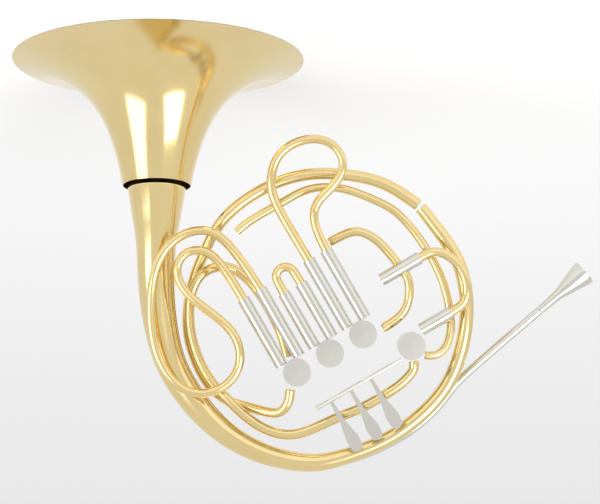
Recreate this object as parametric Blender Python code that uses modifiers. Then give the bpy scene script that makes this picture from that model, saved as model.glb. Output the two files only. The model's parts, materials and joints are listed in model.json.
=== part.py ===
# Double french horn, standing on its bell. Lengths are in millimetres until scaled by MM.
import math
import bpy
from mathutils import Matrix, Vector

MM = 0.001
# Bell and stand
RIM_RADIUS = 155.0
FLARE_OFFSET = 30.4
FLARE_EXPONENT = 0.85
BELL_LENGTH = 137.0
BELL_WALL = 0.8
BODY_TILT = math.radians(12.0)
TAIL_HEIGHT = 212.0
CLEARANCE = 0.3
# Puts the origin below the middle of the whole horn
STAND_SHIFT = 152.8
# Tubes
TUBE_RADIUS = 5.8
OUTER_RADIUS = 6.6
LEG_RADIUS = 5.5
MAIN_RADIUS = 6.7
TUBE_WALL = 0.6
FRONT_LAYER = 28.0
MAIN_LAYER = 20.0
# Valves, in the row frame: X along the row, Y towards the levers, Z to the front
ROW_ANGLE = math.radians(30.0)
FIRST_VALVE = (216.7, 289.3)
VALVE_PITCH = 39.6
VALVE_RADIUS = 13.7
VALVE_FRONT = 38.0
VALVE_BACK = -22.0
VALVE_WALL = 1.2
CAP_THICKNESS = 3.0
LEG_OFFSET = 10.3
SHORT_BOW = 92.0
CHANGE_VALVE = (-37.5, 35.6)
# Levers
AXLE_Y = 43.0
AXLE_RADIUS = 2.0
HUB_RADIUS = 4.0
LEVER_LENGTH = 61.0
LEVER_X = (16.1, 40.0, 63.7)

for old in list(bpy.data.objects):
    bpy.data.objects.remove(old)
horn = bpy.data.collections.new("double_french_horn")
bpy.context.scene.collection.children.link(horn)
root = bpy.data.objects.new("body_frame", None)
horn.objects.link(root)
root.rotation_euler = (-BODY_TILT, 0, 0)
rim_depth = TAIL_HEIGHT * math.tan(BODY_TILT)
root.location = (STAND_SHIFT * MM, -rim_depth * math.cos(BODY_TILT) * MM, rim_depth * math.sin(BODY_TILT) * MM)


def material(name, colour, roughness):
    finish = bpy.data.materials.new(name)
    finish.use_nodes = True
    shader = finish.node_tree.nodes["Principled BSDF"]
    shader.inputs["Base Color"].default_value = (*colour, 1)
    shader.inputs["Metallic"].default_value = 1.0
    shader.inputs["Roughness"].default_value = roughness
    return finish


BRASS = (0.80, 0.62, 0.27)
NICKEL = (0.62, 0.60, 0.53)


def add(name, data, colour, parent=root):
    item = bpy.data.objects.new(name, data)
    horn.objects.link(item)
    item.parent = parent
    data.materials.append(material(name + "_finish", colour, 0.2))
    return item


def place(across, height, depth):
    return Vector((-across, -depth, height)) * MM


row_x = Vector((math.cos(ROW_ANGLE), 0, math.sin(ROW_ANGLE)))
row_y = Vector((-math.sin(ROW_ANGLE), 0, math.cos(ROW_ANGLE)))
row_origin = place(*FIRST_VALVE, 0)


def row(x, y, z):
    return row_origin + (row_x * x + row_y * y + Vector((0, -z, 0))) * MM


def tube(name, points, radii, colour, wall=TUBE_WALL, sides=2):
    curve = bpy.data.curves.new(name, "CURVE")
    curve.dimensions = "3D"
    curve.bevel_depth = max(radii) * MM
    curve.bevel_resolution = sides
    spline = curve.splines.new("POLY")
    spline.points.add(len(points) - 1)
    for spot, position, radius in zip(spline.points, points, radii):
        spot.co = (*position, 1)
        spot.radius = radius / max(radii)
    item = add(name, curve, colour)
    if wall:
        shell = item.modifiers.new("wall", "SOLIDIFY")
        shell.thickness = wall * MM
        shell.offset = -1
    else:
        curve.use_fill_caps = True
    return item


# A smooth route through hand-chosen places: (across, height, depth, radius)
def smooth(stops, steps=3):
    out = []
    for i in range(len(stops) - 1):
        a, b, c, d = (Vector(stops[min(max(j, 0), len(stops) - 1)]) for j in range(i - 1, i + 3))
        for k in range(steps):
            t = k / steps
            out.append(0.5 * (2 * b + (c - a) * t + (2 * a - 5 * b + 4 * c - d) * t ** 2
                              + (3 * b - a - 3 * c + d) * t ** 3))
    return out + [Vector(stops[-1])]


def routed(name, stops, colour, steps=2):
    line = smooth(stops, steps)
    return tube(name, [place(*s[:3]) for s in line], [s[3] for s in line], colour)


def turned(name, outline, colour, parent=root, steps=24):
    mesh = bpy.data.meshes.new(name)
    count = len(outline)
    mesh.from_pydata([(r * MM, 0, z * MM) for r, z in outline], [(i, (i + 1) % count) for i in range(count)], [])
    item = add(name, mesh, colour, parent)
    screw = item.modifiers.new("turn", "SCREW")
    screw.steps = steps
    screw.render_steps = steps
    screw.use_merge_vertices = True
    screw.merge_threshold = 0.00001
    return item


# Bell flare on its own upright axis
def flare_radius(height):
    return RIM_RADIUS * (FLARE_OFFSET / (height + FLARE_OFFSET)) ** FLARE_EXPONENT


flare = [(flare_radius(h), h) for h in [BELL_LENGTH * (i / 12) ** 1.5 for i in range(12, -1, -1)]]
inside = [(r - BELL_WALL, h) for r, h in reversed(flare)]
bell = turned("bell", flare + inside, BRASS, None, 48)
bell.location.x = STAND_SHIFT * MM

# Branches: the bell branch starts inside the bell's ring and winds once round
axis_stops = []
for along, radius in ((140, 34.0), (152, 32.0), (178, 27.3), (203, 23.2)):
    depth = along * math.sin(BODY_TILT) - rim_depth
    axis_stops.append((0, along * math.cos(BODY_TILT), depth, radius))
routed("bell_branch", axis_stops + [
    (1, 254, 0, 20.8), (12, 313, 0, 18.4), (35, 355, 0, 16.6), (68, 391, 0, 14.5),
    (112, 416, 0, 12.4), (162, 426, 0, 10.8), (201, 418, 0, 9.5), (251, 397, 0, 8.8),
    (300, 354, 0, 8.6), (321, 307, 0, 8.5), (327, 258, 0, 8.4), (318, 213, 0, 8.2),
    (292, 175, 0, 7.8), (278, 157, 0, 7.4)], BRASS)
routed("second_branch", [
    (276, 155, 0, 7.3), (243, 133, 0, 7.1), (204, 123, 0, 7), (157, 122, 0, 6.9), (111, 138, 0, 6.8),
    (69, 170, 0, 6.7), (47, 212, -13, 6.4), (38, 236, -15, 6.3), (33, 263, -15, 6.2), (33, 291, -14, 6.1),
    (41, 319, -15, 6), (53, 342, -15, 6), (72, 360, -15, 6), (96, 367, -10, 6), (111, 371, -4, 6),
    (129, 373, 4, 6), (139, 362, 8, 6), (141, 348, 9, 6)], BRASS)
routed("f_branch", [
    (270, 318, 16, 6), (270, 327, 16, 6), (261, 338, 16, 6), (247, 349, 15, 6), (216, 367, 12, 6),
    (188, 378, 9, 6), (151, 395, 4, 6), (122, 393, 2, 6), (97, 379, 3, 6), (74, 357, 3, 6),
    (59, 341, 1, 6), (46, 319, 1, 6), (37, 291, 1, 6), (35, 265, 1, 6), (38, 244, 1, 6),
    (48, 227, 0, 6), (66, 219, -8, 6), (84, 223, -15, 6), (105, 242, -16, 6), (124, 274, -16, 6),
    (133, 295, -16, 6), (138, 315, -16, 6)], BRASS)
routed("inlet_branch", [
    (282, 312, 10, 5), (294, 312, 9, 5), (304, 304, 7, 5), (309, 288, 6, 5), (309, 272, 6, 5),
    (302, 236, 5, 5), (282, 197, 4, 5), (256, 165, 4, 5), (235, 152, 4, 5), (197, 137, 2, 5),
    (162, 137, 0, 5), (136, 150, 0, 5), (99, 171, 0, 5), (85, 183, 0, 5)], BRASS)
routed("mouthpipe", [
    (405, 265, -15, 5.2), (364, 300, -15, 5.1), (323, 336, -16, 5), (309, 352, -16, 5),
    (290, 375, -16, 5), (255, 402, -16, 5), (203, 424, -17, 5), (162, 427, -18, 5), (112, 414, -20, 5)], NICKEL)
routed("change_loop", [
    (182, 194, 2, 5.5), (197, 186, 4, 5.5), (213, 182, 6, 5.5), (233, 192, 6, 5.5), (252, 214, 6, 5.5),
    (264, 230, 6, 5.5), (266, 247, 6, 5.5), (262, 264, 6, 5.5), (252, 275, 6, 5.5), (238, 284, 6, 5.5)], BRASS)

# Valves, and the legs of the slides that start 0.3 mm off their casings
valves = [(VALVE_PITCH * i, 0) for i in range(3)] + [CHANGE_VALVE]
ordinal = ("first", "second", "third", "change")
leg_start = math.sqrt(VALVE_RADIUS ** 2 - (LEG_OFFSET - OUTER_RADIUS) ** 2) + CLEARANCE
facing = Matrix.Rotation(math.pi / 2, 4, "X")
bore = VALVE_RADIUS - VALVE_WALL
for name, (x, y) in zip(ordinal, valves):
    front, back = VALVE_FRONT, VALVE_BACK
    shapes = (
        ("casing", [(VALVE_RADIUS, front), (VALVE_RADIUS, back), (2.5, back), (2.5, back + 3), (bore, back + 3), (bore, front)]),
        ("cap", [(0.01, front + CAP_THICKNESS + CLEARANCE), (VALVE_RADIUS + 1, front + CAP_THICKNESS), (VALVE_RADIUS + 1, front + CLEARANCE), (0.01, front + CLEARANCE)]),
        ("rotor", [(0.01, back + 6), (bore - CLEARANCE - 2, back + 6), (bore - CLEARANCE - 2, front - 2),
                   (bore - CLEARANCE, front - 2), (bore - CLEARANCE, back + 3 + CLEARANCE), (2.2, back + 3 + CLEARANCE), (2.2, back - 6), (0.01, back - 6)]),
    )
    for kind, outline in shapes:
        piece = turned(name + "_valve_" + kind, outline, NICKEL, root, 16)
        piece.matrix_local = Matrix.Translation(row(x, y, 0)) @ facing

# Slide bows run on the same lines as the fixed outer tubes
F_FIRST = [(127, 157), (121, 139), (121, 122), (127, 104), (143, 90), (167, 84), (188, 91), (199, 111),
           (192, 130), (174, 146), (164, 160)]
F_THIRD = [(69, 184), (46, 179), (20, 189), (1, 214), (-5, 251), (-3, 294), (7, 324), (25, 346), (46, 353),
           (69, 348), (86, 332), (91, 311), (84, 287), (59, 267), (32, 248), (20, 224), (29, 205),
           (46, 200), (63, 207)]
OUTER_END = {"first": 95.0, "second": 78.0, "third": 94.0}
BOW_START = {"first": 117.0, "second": SHORT_BOW, "third": 113.0}
INNER_START = 60.0
half_bow = [(-LEG_OFFSET * math.cos(a), -SHORT_BOW - LEG_OFFSET * math.sin(a))
            for a in [math.pi * i / 6 for i in range(1, 6)]]
for name, (x, y) in zip(ordinal[:3], valves[:3]):
    for side, sign in (("right", -1), ("left", 1)):
        ends = [row(x + sign * LEG_OFFSET, -d, FRONT_LAYER) for d in (leg_start, OUTER_END[name])]
        tube(name + "_slide_outer_" + side, ends, [OUTER_RADIUS] * 2, NICKEL)
    legs = [[row(x + sign * LEG_OFFSET, -d, FRONT_LAYER) for d in (INNER_START, BOW_START[name])] for sign in (-1, 1)]
    if name == "second":
        middle = [row(x + dx, dy, FRONT_LAYER) for dx, dy in half_bow]
    else:
        middle = [place(a, h, FRONT_LAYER + (3 if name == "third" else 0))
                  for a, h in (reversed(F_FIRST) if name == "first" else F_THIRD)]
    line = legs[0] + middle + legs[1][::-1]
    tube(name + "_slide", line, [LEG_RADIUS] * len(line), BRASS)

# Main tuning slide beside the change valve
MAIN_LOW = 26.8
MAIN_HIGH = -39.0
for side, y, start, end in (("lower", MAIN_LOW, -55.0, -91.0), ("upper", MAIN_HIGH, -45.0, -91.0)):
    tube("main_slide_outer_" + side, [row(start, y, MAIN_LAYER), row(end, y, MAIN_LAYER)], [MAIN_RADIUS] * 2, NICKEL)
reach = 23.0
middle_y = (MAIN_LOW + MAIN_HIGH) / 2
spread = (MAIN_LOW - MAIN_HIGH) / 2
arc = [row(-100 - reach * math.sin(a), middle_y + spread * math.cos(a), MAIN_LAYER)
       for a in [math.pi * i / 10 for i in range(11)]]
line = [row(-65, MAIN_LOW, MAIN_LAYER)] + arc + [row(-65, MAIN_HIGH, MAIN_LAYER)]
tube("main_slide", line, [LEG_RADIUS] * len(line), BRASS)

# Lever axle, levers and mouthpiece
tube("lever_axle", [row(-22, AXLE_Y, FRONT_LAYER), row(81, AXLE_Y, FRONT_LAYER)], [AXLE_RADIUS] * 2, NICKEL, 0)
for name, x in zip(ordinal, LEVER_X):
    mesh = bpy.data.curves.new(name + "_lever", "CURVE")
    mesh.fill_mode = "BOTH"
    mesh.extrude = 0.8 * MM
    outline = [(-2, 2.35), (2, 2.35), (2.5, 24), (7, 46), (6, 58), (0, LEVER_LENGTH), (-6, 58), (-7, 46), (-2.5, 24)]
    blade = mesh.splines.new("POLY")
    blade.points.add(len(outline) - 1)
    for spot, (px, py) in zip(blade.points, outline):
        spot.co = (px * MM, py * MM, 0, 1)
    blade.use_cyclic_u = True
    paddle = add(name + "_lever", mesh, NICKEL)
    axes = Matrix((row_x, row_y, Vector((0, -1, 0)))).transposed().to_4x4()
    paddle.matrix_local = Matrix.Translation(row(x, AXLE_Y, FRONT_LAYER)) @ axes
pipe_end = place(405, 265, -15)
pipe_axis = (pipe_end - place(364, 300, -15)).normalized()
cup = turned("mouthpiece", [(13, 62), (13.5, 58), (5.5, 24), (4.4, 0.3), (3, 0.3), (3, 30), (8.5, 62)], NICKEL)
cup.matrix_local = Matrix.Translation(pipe_end) @ pipe_axis.to_track_quat("Z", "Y").to_matrix().to_4x4()
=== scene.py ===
import json
import math
import bmesh
import bpy
from mathutils import Matrix, Vector

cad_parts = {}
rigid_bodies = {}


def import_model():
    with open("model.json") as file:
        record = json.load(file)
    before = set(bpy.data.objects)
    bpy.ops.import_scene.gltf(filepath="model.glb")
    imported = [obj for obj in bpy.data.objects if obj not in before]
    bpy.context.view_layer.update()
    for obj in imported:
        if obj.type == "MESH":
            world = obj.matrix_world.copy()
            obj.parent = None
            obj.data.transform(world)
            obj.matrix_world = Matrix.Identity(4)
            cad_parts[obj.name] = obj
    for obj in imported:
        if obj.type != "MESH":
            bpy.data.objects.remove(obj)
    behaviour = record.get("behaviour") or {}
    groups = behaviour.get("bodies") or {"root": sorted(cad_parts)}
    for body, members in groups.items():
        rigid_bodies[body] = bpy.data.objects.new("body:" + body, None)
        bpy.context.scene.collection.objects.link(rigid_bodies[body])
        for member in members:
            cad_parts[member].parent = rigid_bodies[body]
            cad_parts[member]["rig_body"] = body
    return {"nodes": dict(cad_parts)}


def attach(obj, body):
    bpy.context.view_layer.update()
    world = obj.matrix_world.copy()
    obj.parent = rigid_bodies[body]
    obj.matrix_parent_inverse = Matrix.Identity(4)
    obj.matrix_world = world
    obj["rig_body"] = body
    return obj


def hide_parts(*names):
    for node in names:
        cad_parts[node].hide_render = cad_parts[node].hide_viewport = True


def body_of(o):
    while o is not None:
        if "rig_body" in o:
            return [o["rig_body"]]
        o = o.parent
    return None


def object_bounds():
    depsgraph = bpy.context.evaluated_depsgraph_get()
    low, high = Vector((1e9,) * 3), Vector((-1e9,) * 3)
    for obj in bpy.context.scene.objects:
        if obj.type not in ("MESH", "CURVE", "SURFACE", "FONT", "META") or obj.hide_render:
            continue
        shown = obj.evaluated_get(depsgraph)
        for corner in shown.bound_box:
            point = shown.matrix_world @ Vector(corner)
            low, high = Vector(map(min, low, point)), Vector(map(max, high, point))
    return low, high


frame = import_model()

cad_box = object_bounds()
BODY_TILT = math.radians(12.0)
BRASS_NODES = {"bell", "bell_branch", "second_branch", "f_branch", "inlet_branch", "change_loop",
               "first_slide", "second_slide", "third_slide", "main_slide"}


def metal(name, light, dark, roughness, rings=False):
    finish = bpy.data.materials.new(name)
    finish.use_nodes = True
    tree = finish.node_tree
    shader = tree.nodes["Principled BSDF"]
    shader.inputs["Metallic"].default_value = 1.0
    shader.inputs["Coat Weight"].default_value = 0.3
    place = tree.nodes.new("ShaderNodeTexCoord")
    noise = tree.nodes.new("ShaderNodeTexNoise")
    noise.inputs["Scale"].default_value = 14.0
    noise.inputs["Detail"].default_value = 6.0
    tree.links.new(place.outputs["Object"], noise.inputs["Vector"])
    tint = tree.nodes.new("ShaderNodeValToRGB")
    tint.color_ramp.elements[0].color = (*dark, 1)
    tint.color_ramp.elements[1].color = (*light, 1)
    tree.links.new(noise.outputs["Fac"], tint.inputs["Fac"])
    tree.links.new(tint.outputs["Color"], shader.inputs["Base Color"])
    wear = tree.nodes.new("ShaderNodeMapRange")
    wear.inputs["To Min"].default_value = roughness
    wear.inputs["To Max"].default_value = roughness + 0.08
    tree.links.new(noise.outputs["Fac"], wear.inputs["Value"])
    tree.links.new(wear.outputs["Result"], shader.inputs["Roughness"])
    scratch = tree.nodes.new("ShaderNodeTexNoise")
    scratch.inputs["Scale"].default_value = 900.0 if rings else 300.0
    tree.links.new(place.outputs["Object"], scratch.inputs["Vector"])
    bump = tree.nodes.new("ShaderNodeBump")
    bump.inputs["Strength"].default_value = 0.25 if rings else 0.02
    bump.inputs["Distance"].default_value = 0.0002
    tree.links.new(scratch.outputs["Fac"], bump.inputs["Height"])
    tree.links.new(bump.outputs["Normal"], shader.inputs["Normal"])
    return finish


brass = metal("lacquered_brass", (0.86, 0.70, 0.36), (0.76, 0.58, 0.25), 0.10)
nickel = metal("nickel_silver", (0.72, 0.71, 0.65), (0.62, 0.60, 0.54), 0.14)
turned = metal("turned_nickel", (0.58, 0.57, 0.53), (0.50, 0.49, 0.45), 0.38, True)
for name, node in frame["nodes"].items():
    item = node if hasattr(node, "data") else bpy.data.objects[name]
    item.data.materials.clear()
    item.data.materials.append(brass if name in BRASS_NODES else turned if name.endswith("cap") else nickel)
    if name.endswith(("casing", "rotor", "lever", "axle", "cap")):
        continue
    form = bmesh.new()
    form.from_mesh(item.data)
    bmesh.ops.remove_doubles(form, verts=form.verts, dist=2e-6)
    bmesh.ops.join_triangles(form, faces=form.faces, angle_face_threshold=0.6, angle_shape_threshold=0.7)
    mesh = bpy.data.meshes.new(name + "_smooth")
    form.to_mesh(mesh)
    form.free()
    mesh.materials.append(item.data.materials[0])
    mesh.shade_smooth()
    mesh.set_sharp_from_angle(angle=math.radians(60))
    piece = bpy.data.objects.new(name + "_smooth", mesh)
    piece.matrix_world = item.matrix_world.copy()
    bpy.context.scene.collection.objects.link(piece)
    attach(piece, body_of(item)[0])
    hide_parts(name)
    if name in BRASS_NODES - {"bell"} or name == "mouthpipe":
        rounder = piece.modifiers.new("rounder", "SUBSURF")
        rounder.levels = 2
        rounder.render_levels = 2

# Pale floor that shows white to the camera and in the metal, and still takes the shadow
floor_data = bpy.data.meshes.new("floor")
SPAN = 6.0
floor_data.from_pydata([(-SPAN, -SPAN, 0), (SPAN, -SPAN, 0), (SPAN, SPAN, 0), (-SPAN, SPAN, 0)], [], [(0, 1, 2, 3)])
floor = bpy.data.objects.new("floor", floor_data)
bpy.context.scene.collection.objects.link(floor)
floor.location.z = cad_box[0][2] - 0.0005
pale = bpy.data.materials.new("pale_floor")
pale.use_nodes = True
pale.node_tree.nodes["Principled BSDF"].inputs["Base Color"].default_value = (0.93, 0.93, 0.93, 1)
pale.node_tree.nodes["Principled BSDF"].inputs["Roughness"].default_value = 0.9
floor_data.materials.append(pale)
world = bpy.data.worlds.new("studio")
world.use_nodes = True
world.node_tree.nodes["Background"].inputs["Color"].default_value = (0.95, 0.95, 0.95, 1)
world.node_tree.nodes["Background"].inputs["Strength"].default_value = 0.9
bpy.context.scene.world = world

# Soft studio panels
middle = (Vector(cad_box[0]) + Vector(cad_box[1])) / 2
for name, spot, power, size in (("key", (-1.2, -1.6, 1.5), 22, 1.4), ("fill", (1.4, -1.2, 0.9), 10, 1.2)):
    lamp = bpy.data.lights.new(name, "AREA")
    lamp.energy = power
    lamp.size = size
    light = bpy.data.objects.new(name, lamp)
    light.location = spot
    light.rotation_euler = (middle - Vector(spot)).to_track_quat("-Z", "Y").to_euler()
    bpy.context.scene.collection.objects.link(light)

# The photo looks along the valves' axes, with the horn's bell at the top
RANGE = 3.0
look = Vector((0, math.cos(BODY_TILT), -math.sin(BODY_TILT)))
lens = bpy.data.cameras.new("photo_view")
lens.sensor_width = 36.0
lens.lens = lens.sensor_width * RANGE / 0.6305
view = bpy.data.objects.new("photo_view", lens)
side = Vector((-1, 0, 0))
top = side.cross(look)
aim = Vector((0.0015, -0.0017, 0.2088))
view.matrix_world = Matrix.Translation(aim - look * RANGE) @ Matrix((side, top, -look)).transposed().to_4x4()
bpy.context.scene.collection.objects.link(view)
bpy.context.scene.camera = view
bpy.context.scene.view_settings.view_transform = "Standard"
